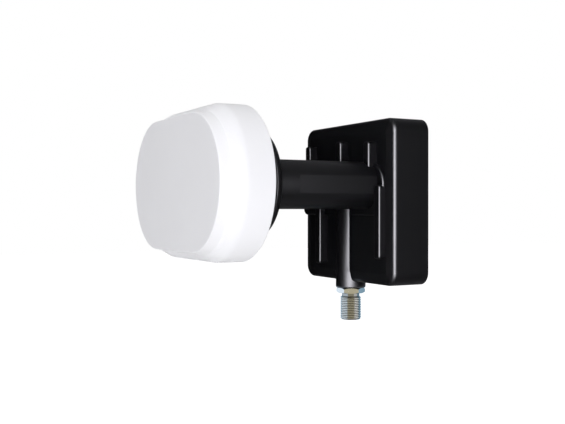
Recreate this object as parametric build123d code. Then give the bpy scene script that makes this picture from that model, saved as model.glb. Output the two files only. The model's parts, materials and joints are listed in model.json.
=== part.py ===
from build123d import *
import math
import os

# Two-feed satellite LNB. Millimetres, +Z up, the feeds look along -Y.
# The origin is on the neck's axis, midway between the two waveguides and midway along the neck.

# Waveguides and neck
FEED_SPACING = 41.0         # between the two waveguide axes
GUIDE_RADIUS = 8.75         # bore of each waveguide
NECK_WALL = 1.6             # neck wall around the bores
NECK_LENGTH = 53.6          # flange to box
NECK_RISE = 7.3             # neck axis above the middle of the box
CORE_WALL = 1.85            # metal left around the cored-out web between the bores
CORE_END = 5.0              # metal left ahead of that core
NECK_FLAT_DEPTH = 0.69      # narrow flat along each side of the neck
NECK_FLAT_START = 13.8      # behind the flange

# Box
BOX_WIDTH = 74.2
BOX_HEIGHT = 72.0
BOX_DEPTH = 19.0
BOX_X = 1.9                 # middle of the box beside the neck's axis
BOX_CORNER = 5.6            # corner radius seen from the front
BEVEL_WIDTH = 5.0           # shallow bevel around the front face
BEVEL_DROP = 1.0
BOX_EDGE = 1.7              # rounding between the bevel and the sides
BOX_REAR_EDGE = 0.4
BOX_WALL = 3.0
BOX_FLOOR = 2.5             # front wall
RIM_WALL = 1.4              # wall around the rear cover

# Pad, fins and boss on the box's front
PAD_MARGINS = (1.2, 5.0)    # pad's ends inside the box's left and right sides
PAD_TUCK = 0.65             # pad's top under the neck's top
PAD_DROP = 2.75             # pad's foot below the neck
PAD_TOP_CORNER = 9.4
PAD_FOOT_CORNER = 3.0
PAD_HEIGHT = 1.65
PAD_EDGE = 0.8
BOSS_GAP = 2.1              # between the boss and the right part of the pad's foot
FIN_WIDTH = 4.2
FIN_HEIGHT = 4.4
FIN_EDGE = 0.8
FIN_CORNER = 1.2
FIN_SINK = 2.0              # how far roots run into the wall
UPPER_FIN_X = (-25.4, 2.3, 25.1)
UPPER_FIN_MARGINS = (8.8, 8.3, 9.8)     # fin tops below the box's top
LOWER_FIN_X = -15.9
LOWER_FIN_MARGIN = 7.2      # fin foot above the box's bottom
SIDE_FIN_MARGIN = 11.6
SIDE_FIN_HEIGHT = 3.5
BOSS_RADIUS = 6.9           # at its foot
BOSS_TOP_RADIUS = 6.7       # at the neck
BOSS_DROP = 3.4             # below the box
BOSS_SETBACK = 4.2          # connector axis behind the box's front face
BOSS_EDGE = 0.8

# Flange, horn plate and horns
FLANGE_RADIUS = 22.3
FLANGE_THICKNESS = 3.2
FLANGE_REAR_EDGE = 2.6      # rounding towards the neck
FLANGE_FRONT_EDGE = 0.3
WAIST_RADIUS = 19.8
WAIST_LENGTH = 6.1
PLATE_THICKNESS = 3.4
HORN_LENGTH = 13.5          # horns ahead of the plate
HORN_RADIUS = 18.4          # mouth of each horn
HORN_WALL = 1.5
CHOKE_RADIUS = 25.6         # wall around both horns
CHOKE_WALL = 1.5
CHOKE_HEIGHT = 9.5

# Feed cap
CAP_RADIUS = 31.8
CAP_WALL = 1.6
CAP_DEPTH = 21.3            # rear edge to front face
CAP_STEP = 16.8             # rear edge to the shoulder's top
CAP_SHOULDER = 4.6          # depth of the shoulder behind the step
CAP_SHOULDER_DROP = 2.0     # shoulder's front edge inside the cap's side
CAP_BLEND = 6.0             # rounding between shoulder and side
CAP_RING = 1.2              # depth of the bevelled ring around the nose's foot
CAP_REAR_EDGE = 0.5
NOSE_RADIUS = 27.7          # front face
NOSE_DRAFT = 0.9
NOSE_EDGE = 0.5
LIP_THICKNESS = 0.6         # snap lip behind the horn plate
LIP_BITE = 0.5
CAP_PLAY = 0.25             # cap around the plate
LIP_PLAY = 0.1
SEAL_GROOVE_DEPTH = 1.2
SEAL_GROOVE_WIDTH = 1.9

# F connector
HEX_FLATS = 11.5
HEX_THICKNESS = 2.4
UNDERCUT_RADIUS = 4.0
UNDERCUT_LENGTH = 1.4
THREAD_RADIUS = 4.7625      # 3/8 inch
THREAD_LENGTH = 10.8
THREAD_CHAMFER = 0.6
STUB_RADIUS = 4.3           # screwed into the boss
PORT_BORE = 2.9
INSULATOR_RECESS = 0.8
ENTRY_RADIUS = 0.7          # hole for the cable's centre wire
ENTRY_DEPTH = 1.2
CONTACT_RADIUS = 1.1
SOCKET_RADIUS = 0.55
SOCKET_DEPTH = 9.0
TAIL_RADIUS = 0.45
TAIL_REACH = 5.0            # tail along the board, from the box's bottom wall
SEAL_SEAT_DEPTH = 1.3
SEAL_SECTION = 1.2          # round section of the connector's ring

# Board and shield
BOARD_THICKNESS = 0.8
BOARD_PLAY = 0.4
BOARD_REST = 2.4            # width of the rim that carries the board
LAND_WALL = 2.4             # land around each waveguide's end
BACK_SHORT = 7.5            # depth behind the board
LID_WALL = 1.2
LID_INSET = 2.0             # shield inside the box's walls
DIVIDER_DROP = 14.0         # shield wall below the feed axis
LINE_GAP_WIDTH = 3.2        # openings for the printed lines
LINE_GAP_HEIGHT = 1.6
SHIELD_SCREW_SIDE = 9.8      # inside the shield's side walls
SHIELD_SCREW_END = 6.3      # inside its upper and lower walls
SHIELD_POST_RADIUS = 2.8
SHIELD_SCREW_RADIUS = 1.2
SHIELD_HEAD_RADIUS = 2.3
SHIELD_HEAD_HEIGHT = 1.6
SCREW_SKIN = 1.2            # metal left ahead of a blind hole
ABSORBER_THICKNESS = 1.5
ABSORBER_SIDE = 14.8        # bare lid beside the sheet
ABSORBER_END = 5.2          # bare lid above and below it

# Parts on the board: width, height, thickness
LNA_SIZE = (1.8, 1.8, 0.8)
CONVERTER_SIZE = (5.0, 5.0, 0.9)
CRYSTAL_SIZE = (3.2, 2.5, 0.9)
CONTROLLER_SIZE = (4.9, 3.9, 1.6)
REGULATOR_SIZE = (6.5, 3.5, 1.7)
REGULATOR_TAB = (3.0, 2.2, 1.0)
CERAMIC_SIZE = (2.0, 1.25, 0.9)
FILTER_SIZE = (3.5, 2.8, 1.9)
CHOKE_SIZE = (4.0, 4.0, 2.2)
DIODE_SIZE = (4.3, 2.6, 2.1)

# Their places, as shares: columns of the shield's half width, rows of the supply bay's height
CERAMIC_COLUMNS = (0.3, 0.47, 0.64, 0.81)
CERAMIC_ROW = 0.15
CONTROL_COLUMN = 0.3
CONTROL_ROW = 0.34
FILTER_COLUMN = 0.36
CHOKE_COLUMN = 0.13
CHOKE_ROW = 0.67
DIODE_ROW = 0.89

# Rear cover
COVER_THICKNESS = 2.2
COVER_RECESS = 0.4
COVER_PLAY = 0.15
COVER_EDGE = 0.5
GASKET_THICKNESS = 0.8
COVER_SCREW_INSET = 7.4     # from the box's sides
COVER_POST_RADIUS = 3.4
COVER_SCREW_RADIUS = 1.45
COVER_SCREW_LENGTH = 9.0
COVER_HEAD_RADIUS = 2.7
COVER_HEAD_HEIGHT = 1.4
POST_CLEARANCE = 0.6        # board and shield around the cover posts
CROSS_SLOT = 0.7            # cross recess in the screw heads
CROSS_DEPTH = 0.8
SCREW_PLAY = 0.15
FIT = 0.05                  # radial play of parts that are pressed or soldered in

# Derived places
FEED_X = FEED_SPACING / 2
NECK_RADIUS = GUIDE_RADIUS + NECK_WALL
BOX_Z = -NECK_RISE
BOX_LEFT = BOX_X - BOX_WIDTH / 2
BOX_RIGHT = BOX_X + BOX_WIDTH / 2
BOX_TOP = BOX_Z + BOX_HEIGHT / 2
BOX_BOTTOM = BOX_Z - BOX_HEIGHT / 2
FACE_Y = NECK_LENGTH / 2
FLOOR_Y = FACE_Y + BOX_FLOOR
REAR_Y = FACE_Y + BOX_DEPTH
FLANGE_Y = -NECK_LENGTH / 2
WAIST_Y = FLANGE_Y - FLANGE_THICKNESS
PLATE_Y = WAIST_Y - WAIST_LENGTH
PLATE_FRONT_Y = PLATE_Y - PLATE_THICKNESS
HORN_FRONT_Y = PLATE_FRONT_Y - HORN_LENGTH
CAP_INNER = CAP_RADIUS - CAP_WALL
PLATE_RADIUS = CAP_INNER - CAP_PLAY
CAP_REAR_Y = PLATE_Y + LIP_PLAY + LIP_THICKNESS
CAP_STEP_Y = CAP_REAR_Y - CAP_STEP
CAP_SHOULDER_Y = CAP_STEP_Y + CAP_SHOULDER
CAP_RING_Y = CAP_STEP_Y + CAP_RING
CAP_RING_RADIUS = CAP_RADIUS - CAP_SHOULDER_DROP
NOSE_FOOT = NOSE_RADIUS + NOSE_DRAFT
CAP_FRONT_Y = CAP_REAR_Y - CAP_DEPTH
GROOVE_Y = (PLATE_Y + PLATE_FRONT_Y) / 2
PORT_Y = FACE_Y + BOSS_SETBACK
BOSS_BOTTOM = BOX_BOTTOM - BOSS_DROP
CAVITY_BOTTOM = BOX_BOTTOM + BOX_WALL
HEX_BOTTOM = BOSS_BOTTOM - HEX_THICKNESS
THREAD_TOP = HEX_BOTTOM - UNDERCUT_LENGTH
THREAD_END = THREAD_TOP - THREAD_LENGTH
BOARD_Y = PORT_Y + TAIL_RADIUS + FIT
BOARD_REAR_Y = BOARD_Y + BOARD_THICKNESS
LID_Y = BOARD_REAR_Y + BACK_SHORT
LID_REAR_Y = LID_Y + LID_WALL
COVER_REAR_Y = REAR_Y - COVER_RECESS
COVER_Y = COVER_REAR_Y - COVER_THICKNESS
LEDGE_Y = COVER_Y - GASKET_THICKNESS
CAVITY_WIDTH = BOX_WIDTH - 2 * BOX_WALL
CAVITY_HEIGHT = BOX_HEIGHT - 2 * BOX_WALL
CAVITY_CORNER = max(BOX_CORNER - BOX_WALL, FIT)
RECESS_WIDTH = BOX_WIDTH - 2 * RIM_WALL
RECESS_HEIGHT = BOX_HEIGHT - 2 * RIM_WALL
RECESS_CORNER = max(BOX_CORNER - RIM_WALL, FIT)
COVER_SCREW_DX = BOX_WIDTH / 2 - COVER_SCREW_INSET
COVER_SCREW_DZ = BOX_HEIGHT / 2 - COVER_SCREW_INSET
POST_ROOM = COVER_POST_RADIUS + POST_CLEARANCE
SCREW_TIP_Y = FACE_Y + SCREW_SKIN
LID_WIDTH = CAVITY_WIDTH - 2 * LID_INSET
LID_HEIGHT = CAVITY_HEIGHT - 2 * LID_INSET
BAY_X = LID_WIDTH / 2 - LID_WALL
BAY_TOP = -DIVIDER_DROP - LID_WALL / 2
BAY_BOTTOM = BOX_Z - LID_HEIGHT / 2 + LID_WALL
BAY_HEIGHT = BAY_TOP - BAY_BOTTOM
CENTRE_BAY = FEED_X - GUIDE_RADIUS - LID_WALL
CONVERTER_Z = GUIDE_RADIUS / 3
SHIELD_SCREW_X = BAY_X - SHIELD_SCREW_SIDE
SHIELD_SCREW_TOP = BOX_Z + LID_HEIGHT / 2 - LID_WALL - SHIELD_SCREW_END
SHIELD_SCREW_LOW = BAY_BOTTOM + SHIELD_SCREW_END
SHIELD_SCREWS = [(x, SHIELD_SCREW_TOP) for x in (-SHIELD_SCREW_X, 0, SHIELD_SCREW_X)]
SHIELD_SCREWS += [(x, SHIELD_SCREW_LOW) for x in (-SHIELD_SCREW_X, SHIELD_SCREW_X)]
SHIELD_SCREWS += [(0, -DIVIDER_DROP)]
COVER_SCREW_XS = (BOX_X - COVER_SCREW_DX, BOX_X + COVER_SCREW_DX)
COVER_SCREWS = [(x, BOX_Z + sz * COVER_SCREW_DZ) for x in COVER_SCREW_XS for sz in (-1, 1)]
FEEDS = (-FEED_X, FEED_X)


def facing_plane(y):
    """A sketch plane at depth y: sketch x is +X, sketch y is +Z, and it extrudes forward, to -Y."""
    return Plane(origin=(0, y, 0), x_dir=(1, 0, 0), z_dir=(0, -1, 0))


def slab(sketch, rear_y, front_y):
    return extrude(facing_plane(rear_y) * sketch, amount=rear_y - front_y)


def stadium(radius, rear_y, front_y):
    return slab(SlotCenterToCenter(FEED_SPACING, 2 * radius), rear_y, front_y)


def panel(width, height, corner, rear_y, front_y):
    """A rounded rectangle around the middle of the box."""
    return slab(Pos(BOX_X, BOX_Z) * RectangleRounded(width, height, corner), rear_y, front_y)


def rod(radius, x, z, rear_y, front_y):
    return slab(Pos(x, z) * Circle(radius), rear_y, front_y)


def cone(rear_radius, front_radius, x, z, rear_y, front_y):
    base = Plane(origin=(x, rear_y, z), x_dir=(1, 0, 0), z_dir=(0, -1, 0))
    return Solid.make_cone(rear_radius, front_radius, rear_y - front_y, base)


def block(x0, x1, y0, y1, z0, z1):
    middle = Pos((x0 + x1) / 2, (y0 + y1) / 2, (z0 + z1) / 2)
    return middle * Box(x1 - x0, y1 - y0, z1 - z0)


def upright(radius, low, high):
    """A cylinder on the connector's axis."""
    return Solid.make_cylinder(radius, high - low, Plane(origin=(0, PORT_Y, low)))


def front_edges(shape):
    return shape.faces().sort_by(Axis.Y)[0].edges()


def rear_edges(shape):
    return shape.faces().sort_by(Axis.Y)[-1].edges()


def neck_pad():
    """A low pad around the neck's foot. On the right its lower part stops short of the boss."""
    left = BOX_LEFT + PAD_MARGINS[0]
    right = BOX_RIGHT - PAD_MARGINS[1]
    top = NECK_RADIUS - PAD_TUCK
    foot = -NECK_RADIUS - PAD_DROP
    gap = BOSS_RADIUS + BOSS_GAP
    corners = [(left, foot), (0, foot), (0, 0), (gap, 0), (gap, foot)]
    corners += [(right, foot), (right, top), (left, top)]
    radii = [PAD_FOOT_CORNER, 0, 0, 0, 0, PAD_FOOT_CORNER, PAD_TOP_CORNER, PAD_TOP_CORNER]
    outline = make_face(FilletPolyline(*corners, radius=radii, close=True))
    pad = slab(outline, FACE_Y + FIN_SINK, FACE_Y - PAD_HEIGHT)
    return fillet(front_edges(pad), PAD_EDGE)


def fin(x, low, high, height):
    """An upright fin with rounded ends and front edges, centred at x."""
    outline = Pos(x, (low + high) / 2) * RectangleRounded(FIN_WIDTH, high - low, FIN_CORNER)
    rib = slab(outline, FACE_Y + FIN_SINK, FACE_Y - height)
    return fillet(front_edges(rib), FIN_EDGE)


def all_fins():
    tops = [BOX_TOP - margin for margin in UPPER_FIN_MARGINS]
    fins = [fin(x, 0, top, FIN_HEIGHT) for x, top in zip(UPPER_FIN_X, tops)]
    fins.append(fin(LOWER_FIN_X, BOX_BOTTOM + LOWER_FIN_MARGIN, 0, FIN_HEIGHT))
    side_x = BOX_RIGHT - PAD_MARGINS[1] - FIN_WIDTH / 2
    fins.append(fin(side_x, BOX_BOTTOM + SIDE_FIN_MARGIN, 0, SIDE_FIN_HEIGHT))
    return fins


def connector_boss():
    top = -NECK_RADIUS + NECK_WALL / 2
    base = Plane(origin=(0, PORT_Y, BOSS_BOTTOM))
    boss = Solid.make_cone(BOSS_RADIUS, BOSS_TOP_RADIUS, top - BOSS_BOTTOM, base)
    return fillet(boss.faces().sort_by(Axis.Z)[0].edges(), BOSS_EDGE)


def box_shell():
    """The box outside: a flat front face, a shallow bevel around it and a rounded rim."""
    rim_y = FACE_Y + BEVEL_DROP
    shrink = 2 * BEVEL_WIDTH
    inner_corner = max(BOX_CORNER - BEVEL_WIDTH, FIT)
    rim = Pos(BOX_X, BOX_Z) * RectangleRounded(BOX_WIDTH, BOX_HEIGHT, BOX_CORNER)
    face = Pos(BOX_X, BOX_Z) * RectangleRounded(BOX_WIDTH - shrink, BOX_HEIGHT - shrink, inner_corner)
    body = slab(rim, REAR_Y, rim_y)
    body += loft([facing_plane(rim_y) * rim, facing_plane(FACE_Y) * face])
    body = fillet(body.edges().filter_by_position(Axis.Y, rim_y, rim_y), BOX_EDGE)
    return fillet(rear_edges(body), BOX_REAR_EDGE)


def neck():
    """The flat tube around both waveguides."""
    tube = stadium(NECK_RADIUS, FLOOR_Y, WAIST_Y)
    side = FEED_X + NECK_RADIUS
    start = FLANGE_Y + NECK_FLAT_START
    cut = block(side - NECK_FLAT_DEPTH, side + FIT, start, FLOOR_Y, -NECK_RADIUS, NECK_RADIUS)
    return tube - cut - mirror(cut, about=Plane.YZ)


def outer_form():
    """Everything the casting shows outside, still solid."""
    body = box_shell()
    body += neck_pad()
    body += all_fins()
    body += connector_boss()
    body += neck()
    flange = stadium(FLANGE_RADIUS, FLANGE_Y, WAIST_Y)
    flange = fillet(rear_edges(flange), FLANGE_REAR_EDGE)
    flange = fillet(front_edges(flange), FLANGE_FRONT_EDGE)
    body += flange
    body += stadium(WAIST_RADIUS, WAIST_Y + FIN_SINK, PLATE_FRONT_Y)
    body += stadium(PLATE_RADIUS, PLATE_Y, PLATE_FRONT_Y)
    choke = stadium(CHOKE_RADIUS, PLATE_Y, PLATE_FRONT_Y - CHOKE_HEIGHT)
    body += choke - stadium(CHOKE_RADIUS - CHOKE_WALL, PLATE_FRONT_Y, HORN_FRONT_Y)
    for x in FEEDS:
        body += cone(NECK_RADIUS, HORN_RADIUS + HORN_WALL, x, 0, PLATE_Y, HORN_FRONT_Y)
    return body


def box_inside():
    """Posts, rim and lands that carry the board, the shield and the rear cover."""
    rim_width = CAVITY_WIDTH - 2 * BOARD_REST
    rim_height = CAVITY_HEIGHT - 2 * BOARD_REST
    rim = panel(CAVITY_WIDTH + BOX_WALL, CAVITY_HEIGHT + BOX_WALL, BOX_CORNER, BOARD_Y, FLOOR_Y - FIT)
    rim -= panel(rim_width, rim_height, CAVITY_CORNER, REAR_Y, FACE_Y)
    slot = TAIL_REACH / 2
    rim -= block(-slot, slot, FLOOR_Y, BOARD_Y, BOX_BOTTOM, CAVITY_BOTTOM + BOARD_REST + FIT)
    inside = [rim]
    inside += [rod(GUIDE_RADIUS + LAND_WALL, x, 0, BOARD_Y, FLOOR_Y - FIT) for x in FEEDS]
    inside += [rod(SHIELD_POST_RADIUS, x, z, BOARD_Y, FLOOR_Y - FIT) for x, z in SHIELD_SCREWS]
    inside += [rod(COVER_POST_RADIUS, x, z, LEDGE_Y, FLOOR_Y - FIT) for x, z in COVER_SCREWS]
    return inside


def guide_bores():
    """The waveguides, open from the board to the horns' mouths."""
    bores = []
    for x in FEEDS:
        bores.append(rod(GUIDE_RADIUS, x, 0, BOARD_Y, PLATE_Y))
        bores.append(cone(GUIDE_RADIUS, HORN_RADIUS, x, 0, PLATE_Y, HORN_FRONT_Y))
    return bores


def neck_core():
    width = FEED_SPACING - 2 * (GUIDE_RADIUS + CORE_WALL)
    height = 2 * (NECK_RADIUS - CORE_WALL)
    return slab(RectangleRounded(width, height, CORE_WALL), FLOOR_Y, FLANGE_Y + CORE_END)


def blind_holes():
    tip = COVER_Y + COVER_HEAD_HEIGHT - COVER_SCREW_LENGTH
    holes = [rod(SHIELD_SCREW_RADIUS + FIT, x, z, BOARD_Y, SCREW_TIP_Y) for x, z in SHIELD_SCREWS]
    holes += [rod(COVER_SCREW_RADIUS + FIT, x, z, LEDGE_Y, tip) for x, z in COVER_SCREWS]
    return holes


def main_casting():
    body = outer_form()
    body -= panel(CAVITY_WIDTH, CAVITY_HEIGHT, CAVITY_CORNER, REAR_Y, FLOOR_Y)
    body -= panel(RECESS_WIDTH, RECESS_HEIGHT, RECESS_CORNER, REAR_Y, LEDGE_Y)
    body += box_inside()
    body -= guide_bores()
    body -= neck_core()
    body -= blind_holes()
    groove_rear = GROOVE_Y + SEAL_GROOVE_WIDTH / 2
    groove_front = GROOVE_Y - SEAL_GROOVE_WIDTH / 2
    groove = stadium(PLATE_RADIUS + CAP_PLAY, groove_rear, groove_front)
    body -= groove - stadium(PLATE_RADIUS - SEAL_GROOVE_DEPTH, groove_rear, groove_front)
    body -= upright(STUB_RADIUS + FIT, BOSS_BOTTOM, CAVITY_BOTTOM)
    body -= upright(STUB_RADIUS + SEAL_SECTION + FIT, BOSS_BOTTOM, BOSS_BOTTOM + SEAL_SEAT_DEPTH)
    return body


def feed_cap():
    outer = stadium(CAP_RADIUS, CAP_REAR_Y, CAP_SHOULDER_Y)
    outer += tapered(CAP_RING_RADIUS, CAP_RADIUS, CAP_SHOULDER_Y, CAP_RING_Y)
    outer = fillet(outer.edges().filter_by_position(Axis.Y, CAP_SHOULDER_Y, CAP_SHOULDER_Y), CAP_BLEND)
    outer = fillet(rear_edges(outer), CAP_REAR_EDGE)
    outer += tapered(NOSE_FOOT, CAP_RING_RADIUS, CAP_RING_Y, CAP_STEP_Y)
    outer += nose(NOSE_RADIUS, CAP_SHOULDER_Y, CAP_FRONT_Y, NOSE_EDGE)
    inner = stadium(CAP_INNER, CAP_REAR_Y - LIP_THICKNESS, CAP_STEP_Y + CAP_WALL)
    inner = fillet(front_edges(inner), CAP_SHOULDER)
    inner += nose(NOSE_RADIUS - CAP_WALL, CAP_SHOULDER_Y, CAP_FRONT_Y + CAP_WALL, NOSE_EDGE)
    inner += stadium(PLATE_RADIUS - LIP_BITE, CAP_REAR_Y, CAP_REAR_Y - LIP_THICKNESS)
    return outer - inner


def tapered(front_radius, rear_radius, rear_y, front_y):
    """A stadium that widens towards the rear."""
    height = rear_y - front_y
    draft = math.degrees(math.atan2(rear_radius - front_radius, height))
    outline = facing_plane(front_y) * SlotCenterToCenter(FEED_SPACING, 2 * front_radius)
    return extrude(outline, amount=-height, taper=-draft)


def nose(front_radius, rear_y, front_y, edge):
    """The cap's front section, slightly wider towards its foot."""
    widening = NOSE_DRAFT * (rear_y - front_y) / (CAP_DEPTH - CAP_STEP)
    return fillet(front_edges(tapered(front_radius, front_radius + widening, rear_y, front_y)), edge)


def feed_seal():
    radius = (CAP_PLAY + SEAL_GROOVE_DEPTH) / 2 - FIT
    middle = PLATE_RADIUS - SEAL_GROOVE_DEPTH + radius + FIT
    centre = Plane(origin=(0, GROOVE_Y, middle), x_dir=(0, 1, 0), z_dir=(1, 0, 0))
    straight = extrude(centre * Circle(radius), amount=FEED_X, both=True)
    ends = []
    for x in FEEDS:
        hub = Axis((x, 0, 0), (0, math.copysign(1, x), 0))
        section = Plane(origin=(x, GROOVE_Y, middle), x_dir=(0, 1, 0), z_dir=(1, 0, 0)) * Circle(radius)
        ends.append(revolve(section, axis=hub, revolution_arc=180))
    return straight + ends + mirror(straight, about=Plane.XY)


def f_connector():
    hexagon = Plane(origin=(0, PORT_Y, HEX_BOTTOM)) * RegularPolygon(HEX_FLATS / 2, 6, major_radius=False)
    body = extrude(hexagon, amount=HEX_THICKNESS)
    body += upright(STUB_RADIUS, BOSS_BOTTOM, CAVITY_BOTTOM)
    body += upright(UNDERCUT_RADIUS, THREAD_TOP, HEX_BOTTOM)
    thread = upright(THREAD_RADIUS, THREAD_END, THREAD_TOP)
    body += chamfer(thread.faces().sort_by(Axis.Z)[0].edges(), THREAD_CHAMFER)
    return body - upright(PORT_BORE, THREAD_END, CAVITY_BOTTOM)


def connector_seal():
    radius = SEAL_SECTION / 2 - FIT
    middle = STUB_RADIUS + SEAL_SECTION / 2
    ring = Solid.make_torus(middle, radius, Plane(origin=(0, PORT_Y, BOSS_BOTTOM + radius + FIT)))
    return ring


def connector_insulator():
    foot = THREAD_END + INSULATOR_RECESS
    body = upright(PORT_BORE - FIT, foot, CAVITY_BOTTOM)
    body -= upright(CONTACT_RADIUS + FIT, foot + ENTRY_DEPTH, CAVITY_BOTTOM)
    return body - upright(ENTRY_RADIUS, foot, foot + ENTRY_DEPTH)


def connector_contact():
    foot = THREAD_END + INSULATOR_RECESS + ENTRY_DEPTH
    body = upright(CONTACT_RADIUS, foot, CAVITY_BOTTOM)
    body += upright(TAIL_RADIUS, CAVITY_BOTTOM, CAVITY_BOTTOM + TAIL_REACH)
    return body - upright(SOCKET_RADIUS, foot, foot + SOCKET_DEPTH)


def notched_panel(width, height, inset, rear_y, front_y):
    """A plate that leaves room at its corners for the rear cover's posts."""
    reach_x = COVER_SCREW_DX - POST_ROOM - inset
    reach_z = COVER_SCREW_DZ - POST_ROOM - inset
    tall = Rectangle(2 * reach_x, height - 2 * inset)
    wide = Rectangle(width - 2 * inset, 2 * reach_z)
    return slab(Pos(BOX_X, BOX_Z) * (tall + wide), rear_y, front_y)


def circuit_board():
    width = CAVITY_WIDTH - 2 * BOARD_PLAY
    height = CAVITY_HEIGHT - 2 * BOARD_PLAY
    board = notched_panel(width, height, 0, BOARD_REAR_Y, BOARD_Y)
    holes = [rod(SHIELD_SCREW_RADIUS + SCREW_PLAY, x, z, BOARD_REAR_Y, BOARD_Y) for x, z in SHIELD_SCREWS]
    return board - holes


def line_gaps():
    """Low openings in the cup walls where the printed lines come out."""
    gaps = []
    half = LINE_GAP_WIDTH / 2
    edge = BOARD_REAR_Y + LINE_GAP_HEIGHT
    reach = GUIDE_RADIUS + LID_WALL + FIT
    for x in FEEDS:
        inner = x - math.copysign(reach, x)
        gaps.append(block(min(inner, x), max(inner, x), BOARD_REAR_Y, edge, -half, half))
        gaps.append(block(x - half, x + half, BOARD_REAR_Y, edge, -reach, 0))
    return gaps


def shield_cover():
    lid = notched_panel(LID_WIDTH, LID_HEIGHT, 0, LID_REAR_Y, BOARD_REAR_Y)
    lid -= notched_panel(LID_WIDTH, LID_HEIGHT, LID_WALL, LID_Y, BOARD_REAR_Y)
    half = BAY_X + LID_WALL / 2
    wall = LID_WALL / 2
    low, high = -DIVIDER_DROP - wall, -DIVIDER_DROP + wall
    lid += block(BOX_X - half, BOX_X + half, BOARD_REAR_Y, LID_Y, low, high)
    lid += [rod(GUIDE_RADIUS + LID_WALL, x, 0, LID_REAR_Y, BOARD_REAR_Y) for x in FEEDS]
    lid += [rod(SHIELD_POST_RADIUS, x, z, LID_REAR_Y, BOARD_REAR_Y) for x, z in SHIELD_SCREWS]
    lid -= [rod(GUIDE_RADIUS, x, 0, LID_Y, BOARD_REAR_Y) for x in FEEDS]
    lid -= [rod(SHIELD_SCREW_RADIUS + SCREW_PLAY, x, z, LID_REAR_Y, BOARD_REAR_Y) for x, z in SHIELD_SCREWS]
    return lid - line_gaps()


def cross_recess(x, z, radius, head_y):
    """A cross cut into a screw head from behind."""
    half = CROSS_SLOT / 2
    reach = radius * 0.6
    bottom = head_y - CROSS_DEPTH
    flat = block(x - reach, x + reach, bottom, head_y, z - half, z + half)
    return [flat, block(x - half, x + half, bottom, head_y, z - reach, z + reach)]


def shield_screw(x, z):
    head_y = LID_REAR_Y + SHIELD_HEAD_HEIGHT
    head = rod(SHIELD_HEAD_RADIUS, x, z, head_y, LID_REAR_Y)
    head = fillet(rear_edges(head), SHIELD_HEAD_HEIGHT / 3)
    screw = head + rod(SHIELD_SCREW_RADIUS, x, z, LID_REAR_Y, SCREW_TIP_Y + FIT)
    return screw - cross_recess(x, z, SHIELD_HEAD_RADIUS, head_y)


def absorber_sheet():
    sheet = Rectangle(2 * (BAY_X - ABSORBER_SIDE), BAY_HEIGHT - 2 * ABSORBER_END)
    middle = Pos(0, (BAY_TOP + BAY_BOTTOM) / 2)
    return slab(middle * sheet, LID_Y, LID_Y - ABSORBER_THICKNESS)


def chip(x, z, size):
    """A part soldered to the board's rear face."""
    width, height, thickness = size
    return slab(Pos(x, z) * Rectangle(width, height), BOARD_REAR_Y + thickness, BOARD_REAR_Y)


def supply_part(column, row, size):
    """A part in the supply bay, below the shield's divider."""
    return chip(column * BAY_X, BAY_TOP - row * BAY_HEIGHT, size)


def lna_transistors():
    beside = GUIDE_RADIUS + LID_WALL + LNA_SIZE[0]
    parts = []
    for x in FEEDS:
        parts.append(chip(x - math.copysign(beside, x), 0, LNA_SIZE))
        parts.append(chip(x, -beside, LNA_SIZE))
    return parts


def converter_chips():
    x = CENTRE_BAY / 3
    return [chip(side * x, CONVERTER_Z, CONVERTER_SIZE) for side in (-1, 1)]


def crystal():
    """Midway between the converter chips and the shield's upper post."""
    chips_top = CONVERTER_Z + CONVERTER_SIZE[1] / 2
    post_foot = SHIELD_SCREW_TOP - SHIELD_POST_RADIUS
    return chip(0, (chips_top + post_foot) / 2, CRYSTAL_SIZE)


def switch_controller():
    return supply_part(-CONTROL_COLUMN, CONTROL_ROW, CONTROLLER_SIZE)


def voltage_regulator():
    body = supply_part(CONTROL_COLUMN, CONTROL_ROW, REGULATOR_SIZE)
    z = BAY_TOP - CONTROL_ROW * BAY_HEIGHT - (REGULATOR_SIZE[1] + REGULATOR_TAB[1]) / 2
    return body + chip(CONTROL_COLUMN * BAY_X, z, REGULATOR_TAB)


def ceramic_capacitors():
    columns = [side * column for side in (-1, 1) for column in CERAMIC_COLUMNS]
    return [supply_part(column, CERAMIC_ROW, CERAMIC_SIZE) for column in columns]


def filter_capacitors():
    return [supply_part(side * FILTER_COLUMN, CHOKE_ROW, FILTER_SIZE) for side in (-1, 1)]


def chokes():
    return [supply_part(side * CHOKE_COLUMN, CHOKE_ROW, CHOKE_SIZE) for side in (-1, 1)]


def protection_diode():
    return supply_part(0, DIODE_ROW, DIODE_SIZE)


def rear_seal():
    play = 2 * COVER_PLAY
    ring = panel(RECESS_WIDTH - play, RECESS_HEIGHT - play, RECESS_CORNER, COVER_Y, LEDGE_Y)
    return ring - panel(CAVITY_WIDTH + play, CAVITY_HEIGHT + play, CAVITY_CORNER, COVER_Y, LEDGE_Y)


def rear_cover():
    play = 2 * COVER_PLAY
    cover = panel(RECESS_WIDTH - play, RECESS_HEIGHT - play, RECESS_CORNER, COVER_REAR_Y, COVER_Y)
    cover = fillet(rear_edges(cover), COVER_EDGE)
    for x, z in COVER_SCREWS:
        head = COVER_HEAD_RADIUS + SCREW_PLAY
        shank = COVER_SCREW_RADIUS + SCREW_PLAY
        cover -= rod(shank, x, z, COVER_REAR_Y, COVER_Y)
        cover -= cone(head, shank, x, z, COVER_REAR_Y, COVER_REAR_Y - COVER_HEAD_HEIGHT)
    return cover


def cover_screw(x, z):
    neck_y = COVER_REAR_Y - COVER_HEAD_HEIGHT
    screw = cone(COVER_HEAD_RADIUS, COVER_SCREW_RADIUS, x, z, COVER_REAR_Y, neck_y)
    screw = rod(COVER_SCREW_RADIUS, x, z, neck_y, COVER_REAR_Y - COVER_SCREW_LENGTH) + screw
    return screw - cross_recess(x, z, COVER_HEAD_RADIUS, COVER_REAR_Y)


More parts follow.
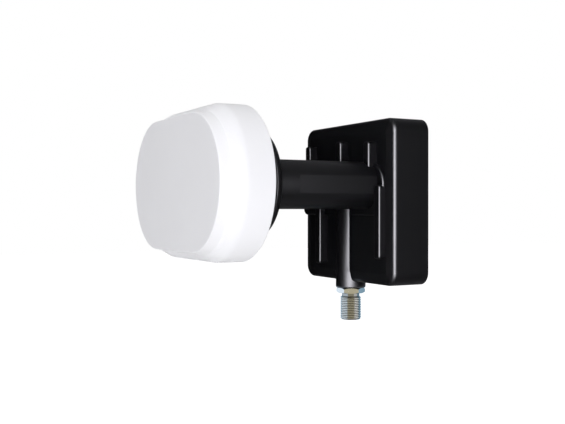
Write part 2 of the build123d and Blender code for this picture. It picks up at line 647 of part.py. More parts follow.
NODES = {
    "feed_cap": feed_cap(),
    "feed_seal": feed_seal(),
    "main_casting": main_casting(),
    "f_connector": f_connector(),
    "connector_seal": connector_seal(),
    "connector_insulator": connector_insulator(),
    "connector_contact": connector_contact(),
    "circuit_board": circuit_board(),
    "shield_cover": shield_cover(),
    "shield_screws": [shield_screw(x, z) for x, z in SHIELD_SCREWS],
    "absorber_sheet": absorber_sheet(),
    "lna_transistors": lna_transistors(),
    "converter_chips": converter_chips(),
    "switch_controller": switch_controller(),
    "voltage_regulator": voltage_regulator(),
    "crystal": crystal(),
    "ceramic_capacitors": ceramic_capacitors(),
    "filter_capacitors": filter_capacitors(),
    "chokes": chokes(),
    "protection_diode": protection_diode(),
    "rear_seal": rear_seal(),
    "rear_cover": rear_cover(),
    "cover_screws": [cover_screw(x, z) for x, z in COVER_SCREWS],
}

os.makedirs("parts", exist_ok=True)
for name, shape in NODES.items():
    solids = shape if isinstance(shape, list) else [shape]
    export_step(Compound([s for part in solids for s in part.solids()]), f"parts/{name}.step")
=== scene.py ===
# %% [markdown]
# # A two-feed satellite LNB
# An LNB sits at the focus of a satellite dish. Two horns look through a white weather cap, two waveguides
# run side by side through a flat neck, and a finned box behind holds the electronics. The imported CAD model
# already has every solid piece in its place, so this lesson only dresses it: camera, light, finishes, and
# the fine thread of the connector, which is plain in the CAD model.

# %% Load the CAD model
import json
import math

import bmesh
import bpy
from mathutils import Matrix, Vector


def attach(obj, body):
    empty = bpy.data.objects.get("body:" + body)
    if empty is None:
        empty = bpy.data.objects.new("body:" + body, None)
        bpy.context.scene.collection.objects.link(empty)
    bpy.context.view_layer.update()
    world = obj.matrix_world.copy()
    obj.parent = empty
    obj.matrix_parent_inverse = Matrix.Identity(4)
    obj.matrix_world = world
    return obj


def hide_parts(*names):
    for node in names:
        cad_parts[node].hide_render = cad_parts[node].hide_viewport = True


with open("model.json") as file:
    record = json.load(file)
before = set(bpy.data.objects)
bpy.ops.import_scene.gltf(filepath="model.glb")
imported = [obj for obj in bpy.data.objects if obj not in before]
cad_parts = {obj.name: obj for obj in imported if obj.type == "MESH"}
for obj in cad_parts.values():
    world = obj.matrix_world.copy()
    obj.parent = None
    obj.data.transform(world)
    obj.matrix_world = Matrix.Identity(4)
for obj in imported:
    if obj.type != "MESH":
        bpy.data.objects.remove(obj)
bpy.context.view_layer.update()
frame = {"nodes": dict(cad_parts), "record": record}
nodes = frame["nodes"]
scene = bpy.context.scene
MM = 0.001

# %% [markdown]
# ## Camera
# The picture was taken from the right of the feeds, level with the neck. The camera's place and lens come
# from fitting the square box, so it is set by numbers, in metres, in the CAD model's own frame.

# %% Camera
CAMERA_PLACE = (0.32882, -0.18104, -0.01039)
CAMERA_TURN = 61.826            # degrees from looking along +Y
CAMERA_PITCH = -0.192
FRAME_WIDTH = 565
FOCAL_PIXELS = 840.0
SENSOR = 36.0

camera_data = bpy.data.cameras.new("camera")
camera_data.sensor_width = SENSOR
camera_data.lens = FOCAL_PIXELS * SENSOR / FRAME_WIDTH
camera_data.clip_start = 0.01
camera = bpy.data.objects.new("camera", camera_data)
camera.location = CAMERA_PLACE
camera.rotation_euler = (math.radians(90 + CAMERA_PITCH), 0, math.radians(CAMERA_TURN))
scene.collection.objects.link(camera)
scene.camera = camera
scene.view_settings.view_transform = "Standard"
print("lens:", round(camera_data.lens, 2), "mm")


# %% [markdown]
# ## Helpers for nodes
# Materials are built from nodes. A few small functions keep that readable: one adds a node and sets its
# inputs by name, one joins two sockets, and one does arithmetic on values or sockets.

# %% Node helpers
def add_node(tree, kind, label="", **inputs):
    """Adds a node and sets inputs, whose names are written with underscores for spaces."""
    node = tree.nodes.new(kind)
    node.label = label
    for name, value in inputs.items():
        node.inputs[name.replace("_", " ")].default_value = value
    return node


def join(tree, source, target):
    tree.links.new(source, target)


def feed(tree, socket, value):
    """Gives a socket a fixed value, or a link where the value is another socket."""
    if isinstance(value, bpy.types.NodeSocket):
        tree.links.new(value, socket)
    else:
        socket.default_value = value


def math_node(tree, operation, *values):
    node = tree.nodes.new("ShaderNodeMath")
    node.operation = operation
    for socket, value in zip(node.inputs, values):
        feed(tree, socket, value)
    return node.outputs[0]


def background_mask(tree):
    """1 for rays from the camera, from mirrors and through glass, 0 for the rays that light the object."""
    path = tree.nodes.new("ShaderNodeLightPath")
    seen = math_node(tree, "MAXIMUM", path.outputs["Is Camera Ray"], path.outputs["Is Glossy Ray"])
    return math_node(tree, "MAXIMUM", seen, path.outputs["Is Transmission Ray"])


# %% [markdown]
# ## World and floor
# The background is plain white. The world gives a soft, even light, and is white only where it is looked
# at. The floor is well below the part, because the neck is held in a clamp and the part doesn't stand.

# %% World
AMBIENT = 0.41
WHITE = (1, 1, 1, 1)

world = bpy.data.worlds.new("studio")
world.use_nodes = True
scene.world = world
sky = world.node_tree
sky.nodes.clear()
soft_light = add_node(sky, "ShaderNodeBackground", "soft light", Color=WHITE, Strength=AMBIENT)
white = add_node(sky, "ShaderNodeBackground", "white background", Color=WHITE, Strength=1.0)
choose = add_node(sky, "ShaderNodeMixShader", "seen or lighting")
join(sky, background_mask(sky), choose.inputs[0])
join(sky, soft_light.outputs[0], choose.inputs[1])
join(sky, white.outputs[0], choose.inputs[2])
join(sky, choose.outputs[0], add_node(sky, "ShaderNodeOutputWorld").inputs["Surface"])
print("world light:", AMBIENT)

# %% [markdown]
# The floor is a sheet of white paper. It glows only where it is looked at or mirrored, so it looks as white
# as the world, and still takes the part's shadow.

# %% Floor
FLOOR_DROP = 0.35
FLOOR_SIZE = 12.0
FLOOR_GLOW = 0.78
PAPER = (0.8, 0.8, 0.8, 1)

floor_mesh = bpy.data.meshes.new("floor")
half = FLOOR_SIZE / 2
corners = ((-half, -half), (half, -half), (half, half), (-half, half))
floor_mesh.from_pydata([(x, y, -FLOOR_DROP) for x, y in corners], [], [(0, 1, 2, 3)])
floor = bpy.data.objects.new("floor", floor_mesh)
scene.collection.objects.link(floor)
paper = bpy.data.materials.new("white_paper")
paper.use_nodes = True
tree = paper.node_tree
tree.nodes.clear()
matt = add_node(tree, "ShaderNodeBsdfDiffuse", "paper", Color=PAPER)
glow = add_node(tree, "ShaderNodeEmission", "white where it is seen", Color=WHITE)
join(tree, math_node(tree, "MULTIPLY", background_mask(tree), FLOOR_GLOW), glow.inputs["Strength"])
both = add_node(tree, "ShaderNodeAddShader")
join(tree, matt.outputs[0], both.inputs[0])
join(tree, glow.outputs[0], both.inputs[1])
join(tree, both.outputs[0], add_node(tree, "ShaderNodeOutputMaterial").inputs["Surface"])
floor_mesh.materials.append(paper)
print("floor at", -FLOOR_DROP, "m")


# %% [markdown]
# ## Lamps
# The main lamp stands beside the camera, so surfaces that face the camera are the brightest. A softer lamp
# above lights the tops, and a weak one below keeps the cap's underside from going grey. All three only light
# surfaces and aren't seen: what shines is set apart, in the next step.

# %% Lamps
def area_lamp(name, direction, distance, width, level, colour):
    """A square lamp aimed at the neck. A white face turned to it gets the given light level."""
    data = bpy.data.lights.new(name, "AREA")
    data.size = width
    data.energy = level * math.pi * math.pi * distance ** 2
    data.color = colour
    lamp = bpy.data.objects.new(name, data)
    way = Vector(direction).normalized()
    lamp.location = way * distance
    lamp.rotation_euler = way.to_track_quat("Z", "Y").to_euler()
    lamp.visible_glossy = lamp.visible_camera = False
    scene.collection.objects.link(lamp)


LAMPS = (                       # name, direction, distance and width in metres, light level, colour
    ("main_lamp", (0.86, -0.51, 0.02), 1.3, 0.8, 0.7, (0.95, 0.95, 1.0)),
    ("top_lamp", (-0.1, -0.1, 1.0), 1.2, 0.6, 0.28, (1, 1, 1)),
    ("low_lamp", (0.05, -0.15, -1.0), 0.3, 0.3, 0.2, (1, 1, 1)),
)
for row in LAMPS:
    area_lamp(*row)


# %% [markdown]
# ## What the paint mirrors
# Black paint shows little but reflections. In a studio it stands in a dark room, and one large softbox with
# a fading edge draws the bright lines along its edges. A dome that only reflections see does the same: dark,
# with a bright patch beside the camera, a weaker one behind the part, and a little light above and below.

# %% Stage helpers
GLOW_COLOUR = (0.94, 0.93, 1, 1)


def stage_piece(name, mesh, material):
    """A stage piece that only shows in reflections."""
    mesh.materials.append(material)
    piece = bpy.data.objects.new(name, mesh)
    scene.collection.objects.link(piece)
    piece.visible_camera = piece.visible_diffuse = piece.visible_shadow = False
    piece.visible_transmission = piece.visible_volume_scatter = False


def glowing(name):
    """A glowing material for a stage piece, with its tree and its glow node."""
    material = bpy.data.materials.new(name)
    material.use_nodes = True
    material.cycles.emission_sampling = "NONE"
    tree = material.node_tree
    tree.nodes.clear()
    glow = add_node(tree, "ShaderNodeEmission", Color=GLOW_COLOUR)
    join(tree, glow.outputs[0], add_node(tree, "ShaderNodeOutputMaterial").inputs["Surface"])
    return material, tree, glow


# %% [markdown]
# The dome's glow depends on the direction alone. Each softbox fades with the angle from its middle, and the
# top and the foot fade towards the horizon. Only first reflections see it, so the corners between fins and
# box stay dark.

# %% Dome material
DOME_DARK = 0.005
SOFTBOXES = (                   # direction in degrees from +X, level, tightness
    (-37, 24.0, 9.0),
    (110, 0.35, 5.0),
)
DOME_TOP, DOME_FOOT = 0.3, 0.25
HORIZON_FADE = 4.0
PAST_FIRST = 1.5                # between the first reflection and the second

dome_material, tree, glow = glowing("reflection_dome")
place = add_node(tree, "ShaderNodeTexCoord")
unit = add_node(tree, "ShaderNodeVectorMath", "direction")
unit.operation = "NORMALIZE"
join(tree, place.outputs["Object"], unit.inputs[0])
total = DOME_DARK
for turn, level, tightness in SOFTBOXES:
    turn = math.radians(turn)
    facing = add_node(tree, "ShaderNodeVectorMath", "softbox")
    facing.operation = "DOT_PRODUCT"
    join(tree, unit.outputs[0], facing.inputs[0])
    facing.inputs[1].default_value = (math.cos(turn), math.sin(turn), 0.0)
    fade = math_node(tree, "MULTIPLY", math_node(tree, "SUBTRACT", facing.outputs["Value"], 1.0), tightness)
    total = math_node(tree, "MULTIPLY_ADD", math_node(tree, "EXPONENT", fade), level, total)
height = add_node(tree, "ShaderNodeSeparateXYZ")
join(tree, unit.outputs[0], height.inputs[0])
for sign, level in ((1.0, DOME_TOP), (-1.0, DOME_FOOT)):
    share = math_node(tree, "MAXIMUM", math_node(tree, "MULTIPLY", height.outputs["Z"], sign), 0.0)
    total = math_node(tree, "MULTIPLY_ADD", math_node(tree, "POWER", share, HORIZON_FADE), level, total)
path = add_node(tree, "ShaderNodeLightPath", "first reflections only")
first = math_node(tree, "LESS_THAN", path.outputs["Glossy Depth"], PAST_FIRST)
join(tree, math_node(tree, "MULTIPLY", total, first), glow.inputs["Strength"])
print("dome material:", len(tree.nodes), "nodes")

# %% Dome mesh
DOME_RADIUS = 0.34

dome_bm = bmesh.new()
bmesh.ops.create_uvsphere(dome_bm, u_segments=48, v_segments=24, radius=DOME_RADIUS)
dome_mesh = bpy.data.meshes.new("reflection_dome")
dome_bm.to_mesh(dome_mesh)
dome_bm.free()
stage_piece("reflection_dome", dome_mesh, dome_material)
print("dome:", len(dome_mesh.polygons), "faces")

# %% [markdown]
# Bright metal shows whatever stands around it. Four small cards stand below the box around the connector:
# a cool one on the left, a warm one towards the camera, a pale one on the right and a blue one behind.

# %% Cards around the connector
PORT_Y = 31.0 * MM                  # the connector's axis
CARD_RADIUS = 0.009
CARD_FOOT, CARD_TOP = -0.075, -0.0464
CARD_STEPS = 12


def curved_card(name, start, end, level, colour):
    """A card around the connector's axis between two directions, in degrees from +X."""
    points, faces = [], []
    for i in range(CARD_STEPS + 1):
        turn = math.radians(start + (end - start) * i / CARD_STEPS)
        x, y = CARD_RADIUS * math.cos(turn), PORT_Y + CARD_RADIUS * math.sin(turn)
        points += [(x, y, CARD_FOOT), (x, y, CARD_TOP)]
    for i in range(CARD_STEPS):
        faces.append((2 * i, 2 * i + 1, 2 * i + 3, 2 * i + 2))
    mesh = bpy.data.meshes.new(name)
    mesh.from_pydata(points, [], faces)
    material, tree, glow = glowing(name)
    glow.inputs["Color"].default_value = (*colour, 1)
    side = add_node(tree, "ShaderNodeNewGeometry", "only the inside glows")
    inside = math_node(tree, "SUBTRACT", 1.0, side.outputs["Backfacing"])
    join(tree, math_node(tree, "MULTIPLY", inside, level), glow.inputs["Strength"])
    stage_piece(name, mesh, material)


CARDS = (                       # name, start and end in degrees, glow, colour
    ("card_cool", 218, 297, 1.35, (0.72, 0.84, 1.0)),
    ("card_warm", 297, 362, 0.58, (1.0, 0.94, 0.72)),
    ("card_pale", 362, 404, 1.15, (0.94, 0.96, 1.0)),
    ("card_blue", 404, 578, 0.62, (0.46, 0.74, 1.0)),
)
for row in CARDS:
    curved_card(*row)


# %% [markdown]
# ## Shared surface effects
# No real surface is one flat colour. Two effects serve every finish, so each is a node group: a grain with
# soft patches for moulded, cast and painted surfaces, and fine rings for turned metal. Both read Object
# coordinates in metres, so a scale of 1000 gives details of about one millimetre.

# %% Group helpers
SOCKET_KINDS = {"Colour": "NodeSocketColor", "Vector": "NodeSocketVector"}      # by the name's first word
SKIN_INPUTS = ("Vector", "Colour A", "Colour B", "Patch Scale", "Grain Scale", "Rough Low", "Rough High")
SKIN_OUTPUTS = ("Colour", "Roughness", "Height")


def new_group(name):
    """A node group for a surface effect, with its inner ends: the values given and the values made."""
    group = bpy.data.node_groups.new(name, "ShaderNodeTree")
    for names, way in ((SKIN_INPUTS, "INPUT"), (SKIN_OUTPUTS, "OUTPUT")):
        for socket in names:
            kind = SOCKET_KINDS.get(socket.split()[0], "NodeSocketFloat")
            group.interface.new_socket(socket, in_out=way, socket_type=kind)
    return group, group.nodes.new("NodeGroupInput").outputs, group.nodes.new("NodeGroupOutput").inputs


def noise(tree, vector, scale, detail):
    node = add_node(tree, "ShaderNodeTexNoise", Detail=detail)
    feed(tree, node.inputs["Vector"], vector)
    feed(tree, node.inputs["Scale"], scale)
    return node.outputs[0]


def blend(tree, amount, low, high):
    """low where the amount is 0, high where it is 1."""
    return math_node(tree, "MULTIPLY_ADD", amount, math_node(tree, "SUBTRACT", high, low), low)


def weigh(tree, first, first_share, second, second_share):
    return math_node(tree, "ADD", math_node(tree, "MULTIPLY", first, first_share),
                     math_node(tree, "MULTIPLY", second, second_share))


def mix_colours(tree, amount, first, second):
    node = tree.nodes.new("ShaderNodeMix")
    node.data_type = "RGBA"
    feed(tree, node.inputs["Factor"], amount)
    feed(tree, node.inputs[6], first)
    feed(tree, node.inputs[7], second)
    return node.outputs[2]


def put_out(group, given, made, amount, height):
    """Colour and roughness follow the amount. The height is handed on."""
    feed(group, made["Colour"], mix_colours(group, amount, given["Colour A"], given["Colour B"]))
    feed(group, made["Roughness"], blend(group, amount, given["Rough Low"], given["Rough High"]))
    feed(group, made["Height"], height)


# %% Grain and patches
PATCH_DETAIL, GRAIN_DETAIL = 3.0, 2.0
PATCH_SHARE, GRAIN_SHARE = 0.7, 0.3

grain_group, given, made = new_group("grain_and_patches")
patches = noise(grain_group, given["Vector"], given["Patch Scale"], PATCH_DETAIL)
grain = noise(grain_group, given["Vector"], given["Grain Scale"], GRAIN_DETAIL)
mottle = weigh(grain_group, patches, PATCH_SHARE, grain, GRAIN_SHARE)
put_out(grain_group, given, made, mottle, grain)
print("group:", grain_group.name)

# %% Turned rings
WOBBLE_DETAIL = 2.0
WOBBLE_SHARE, RING_SHARE = 0.8, 0.2

ring_group, given, made = new_group("turned_rings")
apart = ring_group.nodes.new("ShaderNodeSeparateXYZ")
feed(ring_group, apart.inputs[0], given["Vector"])
along = math_node(ring_group, "MULTIPLY", apart.outputs["Z"], given["Grain Scale"])
wobble = noise(ring_group, given["Vector"], given["Patch Scale"], WOBBLE_DETAIL)
phase = math_node(ring_group, "ADD", along, wobble)
rings = math_node(ring_group, "MULTIPLY_ADD", math_node(ring_group, "SINE", phase), 0.5, 0.5)
stain = weigh(ring_group, wobble, WOBBLE_SHARE, rings, RING_SHARE)
put_out(ring_group, given, made, stain, rings)
print("group:", ring_group.name)


# %% [markdown]
# ## Finishes
# Each finish places one of the groups with its own colours, scales and roughness, and adds a little bump.
# What is the same all over, such as metal or not, is set on the shader itself.

# %% Finish helper
FINISHES = {}


def finish(name, group, colours, scales, roughness, metallic=0.0, specular=0.5, bump=0.1, depth=0.05,
           turn=(0, 0, 0)):
    """Keeps a material from a shared group. Scales are per metre, the bump's depth is in millimetres."""
    material = bpy.data.materials.new(name)
    material.use_nodes = True
    tree = material.node_tree
    shader = tree.nodes["Principled BSDF"]
    place = add_node(tree, "ShaderNodeTexCoord")
    turned = add_node(tree, "ShaderNodeMapping", Rotation=turn)
    join(tree, place.outputs["Object"], turned.inputs["Vector"])
    skin = tree.nodes.new("ShaderNodeGroup")
    skin.node_tree = group
    join(tree, turned.outputs["Vector"], skin.inputs["Vector"])
    values = [(*c, 1) for c in colours] + list(scales) + list(roughness)
    for socket, value in zip(SKIN_INPUTS[1:], values):
        skin.inputs[socket].default_value = value
    relief = add_node(tree, "ShaderNodeBump", Strength=bump, Distance=depth * MM)
    join(tree, skin.outputs["Height"], relief.inputs["Height"])
    join(tree, skin.outputs["Colour"], shader.inputs["Base Color"])
    join(tree, skin.outputs["Roughness"], shader.inputs["Roughness"])
    join(tree, relief.outputs["Normal"], shader.inputs["Normal"])
    shader.inputs["Metallic"].default_value = metallic
    shader.inputs["Specular IOR Level"].default_value = specular
    FINISHES[name] = material


# %% Outside finishes
LYING = (math.pi / 2, 0, 0)         # turns the rings to an axis along Y

finish("cap_white", grain_group, ((0.84, 0.84, 0.85), (0.87, 0.87, 0.88)), (60, 2500), (0.5, 0.62),
       specular=0.12, bump=0.08, depth=0.02)
finish("casting_black", grain_group, ((0.0012, 0.0012, 0.0014), (0.002, 0.002, 0.0023)), (90, 1800),
       (0.3, 0.36), bump=0.04, depth=0.02)
finish("cover_black", grain_group, ((0.012, 0.012, 0.013), (0.018, 0.018, 0.019)), (110, 1500), (0.5, 0.62),
       bump=0.2, depth=0.04)
finish("nickel", ring_group, ((0.62, 0.6, 0.54), (0.74, 0.73, 0.7)), (400, 9000), (0.08, 0.16),
       metallic=1.0, bump=0.02, depth=0.005)
finish("screw_steel", ring_group, ((0.5, 0.5, 0.5), (0.62, 0.61, 0.58)), (500, 12000), (0.25, 0.4),
       metallic=1.0, bump=0.05, depth=0.01, turn=LYING)
finish("seal_rubber", grain_group, ((0.012, 0.012, 0.012), (0.024, 0.024, 0.024)), (300, 3000), (0.7, 0.85),
       specular=0.3, bump=0.3, depth=0.03)
print("outside:", list(FINISHES))

# %% [markdown]
# Inside the box, behind cover and lid, lie the board and its parts. Nobody sees them on the closed object,
# but the pieces are used one by one too, so each has its own finish.

# %% Inside finishes
finish("board_green", grain_group, ((0.02, 0.13, 0.06), (0.05, 0.2, 0.1)), (120, 2200), (0.3, 0.42),
       bump=0.15, depth=0.02)
finish("shield_alloy", grain_group, ((0.5, 0.5, 0.5), (0.68, 0.68, 0.69)), (150, 1600), (0.4, 0.55),
       metallic=1.0, bump=0.25, depth=0.04)
finish("absorber_grey", grain_group, ((0.08, 0.08, 0.08), (0.13, 0.13, 0.13)), (500, 2500), (0.8, 0.95),
       specular=0.2, bump=0.5, depth=0.08)
finish("chip_black", grain_group, ((0.015, 0.015, 0.016), (0.03, 0.03, 0.03)), (600, 6000), (0.5, 0.65),
       specular=0.4, bump=0.3, depth=0.01)
finish("can_steel", grain_group, ((0.56, 0.55, 0.52), (0.68, 0.67, 0.64)), (700, 5000), (0.25, 0.4),
       metallic=1.0, bump=0.1, depth=0.01)
finish("ceramic_tan", grain_group, ((0.48, 0.36, 0.23), (0.58, 0.45, 0.3)), (900, 7000), (0.35, 0.5),
       bump=0.2, depth=0.01)
finish("tantalum_yellow", grain_group, ((0.68, 0.48, 0.09), (0.78, 0.58, 0.15)), (500, 6000), (0.4, 0.55),
       bump=0.2, depth=0.01)
finish("ferrite_grey", grain_group, ((0.09, 0.09, 0.095), (0.16, 0.16, 0.17)), (700, 5000), (0.55, 0.7),
       bump=0.4, depth=0.02)
finish("insulator_white", grain_group, ((0.8, 0.79, 0.75), (0.87, 0.86, 0.82)), (400, 5000), (0.4, 0.5),
       bump=0.1, depth=0.01)
finish("contact_gold", ring_group, ((0.72, 0.52, 0.2), (0.83, 0.65, 0.32)), (500, 14000), (0.18, 0.3),
       metallic=1.0, bump=0.04, depth=0.005)
slot_of = {row["node"]: row["material_slot"] for row in frame["record"]["subparts"]}
for name, node in nodes.items():
    node.data.materials.clear()
    node.data.materials.append(FINISHES[slot_of[name]])
print("finishes:", len(FINISHES), "on", len(nodes), "nodes")

# %% [markdown]
# ## The connector's thread
# The F connector has a 3/8-32 thread, 32 turns to the inch. A thread follows a rule, so Geometry Nodes make
# it: a flat grid is rolled round the connector's axis, and each point's radius comes from its height and
# its angle. The sizes are named inputs, so another thread needs only other numbers.

# %% Thread inputs
thread_tree = bpy.data.node_groups.new("screw_thread", "GeometryNodeTree")
THREAD_SIZES = ("Outer Radius", "Depth", "Pitch", "Top", "Foot", "Top Radius", "Foot Radius", "Axis Y")
sockets = {}
for name in THREAD_SIZES:
    sockets[name] = thread_tree.interface.new_socket(name, in_out="INPUT", socket_type="NodeSocketFloat")
for name in ("Around", "Along"):
    sockets[name] = thread_tree.interface.new_socket(name, in_out="INPUT", socket_type="NodeSocketInt")
sockets["Material"] = thread_tree.interface.new_socket(
    "Material", in_out="INPUT", socket_type="NodeSocketMaterial")
thread_tree.interface.new_socket("Geometry", in_out="OUTPUT", socket_type="NodeSocketGeometry")
size = thread_tree.nodes.new("NodeGroupInput").outputs
result = thread_tree.nodes.new("NodeGroupOutput").inputs[0]
print("thread inputs:", len(sockets))

# %% [markdown]
# The groove is a vee whose tips are cut flat. At the top the thread runs out into the undercut, and at the
# foot it starts on a cone, so the radius is the smallest of the three.

# %% Thread shape
CREST_SLOPE, CREST_SHIFT = 1.4, -0.05       # cut the vee's tips flat
RUN_OUT_SLOPE = 1.5
SEAM_GAP = 1e-6


def calc(operation, *values):
    return math_node(thread_tree, operation, *values)


grid = add_node(thread_tree, "GeometryNodeMeshGrid", "flat sheet", Size_X=1.0, Size_Y=1.0)
join(thread_tree, calc("ADD", size["Around"], 1), grid.inputs["Vertices X"])
join(thread_tree, calc("ADD", size["Along"], 1), grid.inputs["Vertices Y"])
flat_place = thread_tree.nodes.new("GeometryNodeInputPosition")
split = thread_tree.nodes.new("ShaderNodeSeparateXYZ")
join(thread_tree, flat_place.outputs[0], split.inputs[0])
share = calc("ADD", split.outputs["X"], 0.5)
down = calc("ADD", split.outputs["Y"], 0.5)
angle = calc("MULTIPLY", share, math.tau)
height = calc("MULTIPLY_ADD", down, calc("SUBTRACT", size["Foot"], size["Top"]), size["Top"])
turns = calc("SUBTRACT", calc("DIVIDE", height, size["Pitch"]), share)
vee = calc("ABSOLUTE", calc("MULTIPLY_ADD", calc("FRACT", turns), 2.0, -1.0))
crest = calc("MINIMUM", calc("MAXIMUM", calc("MULTIPLY_ADD", vee, CREST_SLOPE, CREST_SHIFT), 0.0), 1.0)
root = calc("SUBTRACT", size["Outer Radius"], size["Depth"])
cut = calc("MULTIPLY_ADD", crest, size["Depth"], root)
run_out = calc("MULTIPLY_ADD", calc("SUBTRACT", size["Top"], height), RUN_OUT_SLOPE, size["Top Radius"])
lead_in = calc("ADD", calc("SUBTRACT", height, size["Foot"]), size["Foot Radius"])
radius = calc("MINIMUM", cut, calc("MINIMUM", run_out, lead_in))
rolled = thread_tree.nodes.new("ShaderNodeCombineXYZ")
join(thread_tree, calc("MULTIPLY", radius, calc("COSINE", angle)), rolled.inputs["X"])
join(thread_tree, calc("MULTIPLY_ADD", radius, calc("SINE", angle), size["Axis Y"]), rolled.inputs["Y"])
join(thread_tree, height, rolled.inputs["Z"])
roll = thread_tree.nodes.new("GeometryNodeSetPosition")
join(thread_tree, grid.outputs["Mesh"], roll.inputs["Geometry"])
join(thread_tree, rolled.outputs[0], roll.inputs["Position"])
close = add_node(thread_tree, "GeometryNodeMergeByDistance", "close the seam", Distance=SEAM_GAP)
join(thread_tree, roll.outputs[0], close.inputs["Geometry"])
real = thread_tree.nodes.new("GeometryNodeRealizeInstances")
join(thread_tree, close.outputs[0], real.inputs[0])
dress = thread_tree.nodes.new("GeometryNodeSetMaterial")
join(thread_tree, real.outputs[0], dress.inputs["Geometry"])
join(thread_tree, size["Material"], dress.inputs["Material"])
join(thread_tree, dress.outputs[0], result)
print("thread tree:", len(thread_tree.nodes), "nodes")

# %% [markdown]
# The tree is evaluated once with the connector's own sizes, in metres, and turned into a plain mesh.

# %% Thread mesh
HEX_APOTHEM = 5.75 * MM
STUB_TOP, HEX_TOP, HEX_FOOT = -40.3 * MM, -46.7 * MM, -49.1 * MM
THREAD_TOP, THREAD_FOOT = -50.5 * MM, -61.3 * MM
UNDERCUT_RADIUS, STUB_RADIUS, BORE_RADIUS = 4.0 * MM, 4.3 * MM, 2.9 * MM
LEAD_RADIUS = 4.1625 * MM
CREST_RADIUS, THREAD_DEPTH = 4.7625 * MM, 0.487 * MM
PITCH = 25.4 * MM / 32
AROUND, ALONG = 96, 196

thread_values = {
    "Outer Radius": CREST_RADIUS, "Depth": THREAD_DEPTH, "Pitch": PITCH, "Top": THREAD_TOP,
    "Foot": THREAD_FOOT, "Top Radius": UNDERCUT_RADIUS, "Foot Radius": LEAD_RADIUS, "Axis Y": PORT_Y,
    "Around": AROUND, "Along": ALONG, "Material": FINISHES["nickel"],
}
blank = bpy.data.objects.new("thread_blank", bpy.data.meshes.new("thread_blank"))
scene.collection.objects.link(blank)
roller = blank.modifiers.new("thread", "NODES")
roller.node_group = thread_tree
for name, value in thread_values.items():
    roller[sockets[name].identifier] = value
evaluated = blank.evaluated_get(bpy.context.evaluated_depsgraph_get())
thread_mesh = bpy.data.meshes.new_from_object(evaluated)
blank.modifiers.remove(roller)
bpy.data.objects.remove(blank)
print("thread:", len(thread_mesh.polygons), "faces")


# %% [markdown]
# ## The connector's body
# Hexagon, undercut and stub are lofted through rings of points that use the thread's own angles, so the
# two meshes share their edge points and merge to one closed body. A cone cuts the hexagon's corners, as on
# any turned nut.

# %% Connector rings
MOUTH = 0.25 * MM                               # bevel at the mouth of the bore
TURNS = [math.tau * i / AROUND for i in range(AROUND)]
CORNER_SLOPE = math.tan(math.radians(30))       # the cone that cuts the corners


def at(turn, radius, height):
    return (radius * math.cos(turn), PORT_Y + radius * math.sin(turn), height)


def ring(height, radius):
    return [at(turn, radius, height) for turn in TURNS]


def hexagon(height, slope):
    """The hexagon's outline, bent from the given height along the cone that cuts its corners."""
    radii = [HEX_APOTHEM / math.cos(turn % (math.pi / 3) - math.pi / 6) for turn in TURNS]
    return [at(turn, r, height + slope * (r - HEX_APOTHEM)) for turn, r in zip(TURNS, radii)]


levels = [ring(THREAD_TOP, UNDERCUT_RADIUS), ring(HEX_FOOT, UNDERCUT_RADIUS), ring(HEX_FOOT, HEX_APOTHEM)]
levels += [hexagon(HEX_FOOT, CORNER_SLOPE), hexagon(HEX_TOP, -CORNER_SLOPE), ring(HEX_TOP, HEX_APOTHEM)]
levels += [ring(HEX_TOP, STUB_RADIUS), ring(STUB_TOP, STUB_RADIUS), ring(STUB_TOP, BORE_RADIUS)]
levels += [ring(THREAD_FOOT + MOUTH, BORE_RADIUS), ring(THREAD_FOOT, BORE_RADIUS + MOUTH)]
levels.append(ring(THREAD_FOOT, LEAD_RADIUS))
print("connector rings:", len(levels))

# %% Connector body
WELD = 2e-6
SHARP_ANGLE = 35                                # degrees

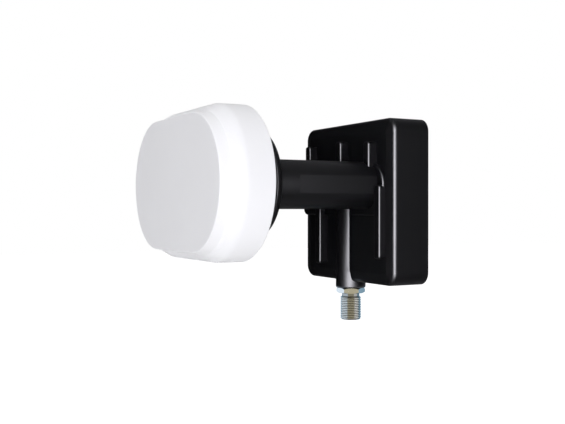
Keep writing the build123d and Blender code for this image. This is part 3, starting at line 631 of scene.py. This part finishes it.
connector_bm = bmesh.new()
connector_bm.from_mesh(thread_mesh)
rows = [[connector_bm.verts.new(p) for p in level] for level in levels]
for lower, upper in zip(rows, rows[1:]):
    for i in range(AROUND):
        j = (i + 1) % AROUND
        connector_bm.faces.new((lower[i], lower[j], upper[j], upper[i]))
bmesh.ops.remove_doubles(connector_bm, verts=connector_bm.verts, dist=WELD)
bmesh.ops.recalc_face_normals(connector_bm, faces=connector_bm.faces)
open_edges = sum(1 for edge in connector_bm.edges if len(edge.link_faces) != 2)
connector_mesh = bpy.data.meshes.new("f_connector_turned")
connector_bm.to_mesh(connector_mesh)
connector_bm.free()
connector_mesh.polygons.foreach_set("use_smooth", [True] * len(connector_mesh.polygons))
connector_mesh.set_sharp_from_angle(angle=math.radians(SHARP_ANGLE))
connector_mesh.materials.clear()
connector_mesh.materials.append(FINISHES["nickel"])
connector = bpy.data.objects.new("f_connector_turned", connector_mesh)
scene.collection.objects.link(connector)
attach(connector, "root")
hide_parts("f_connector")
print("connector:", len(connector_mesh.polygons), "faces, open edges:", open_edges)

# %% [markdown]
# The foot of a thread is never as bright as its crest, because little light gets in. So the nickel's colour
# is darkened with the depth of the groove, which is the distance from the connector's axis. This is painted
# shade, and what lies nearer the axis than the groove's root, such as the undercut and the bore, gets the
# full painted shade.

# %% Dark grooves, painted shade
GROOVE_SHADE = 0.5

nickel = FINISHES["nickel"].node_tree
place = nickel.nodes.new("ShaderNodeTexCoord")
centred = add_node(nickel, "ShaderNodeMapping", "axis at zero", Location=(0, -PORT_Y, 0), Scale=(1, 1, 0))
join(nickel, place.outputs["Object"], centred.inputs["Vector"])
reach = nickel.nodes.new("ShaderNodeVectorMath")
reach.operation = "LENGTH"
join(nickel, centred.outputs[0], reach.inputs[0])
from_root = math_node(nickel, "SUBTRACT", reach.outputs["Value"], CREST_RADIUS - THREAD_DEPTH)
unshaded_share = math_node(nickel, "DIVIDE", from_root, THREAD_DEPTH)
unshaded_share = math_node(nickel, "MINIMUM", math_node(nickel, "MAXIMUM", unshaded_share, 0.0), 1.0)
base = nickel.nodes["Principled BSDF"].inputs["Base Color"]
bright = base.links[0].from_socket
# painted shade: at the groove's foot the nickel's colour is mixed towards black by GROOVE_SHADE
dark = mix_colours(nickel, GROOVE_SHADE, (0, 0, 0, 1), bright)
join(nickel, mix_colours(nickel, unshaded_share, dark, bright), base)
print("groove shade:", GROOVE_SHADE)
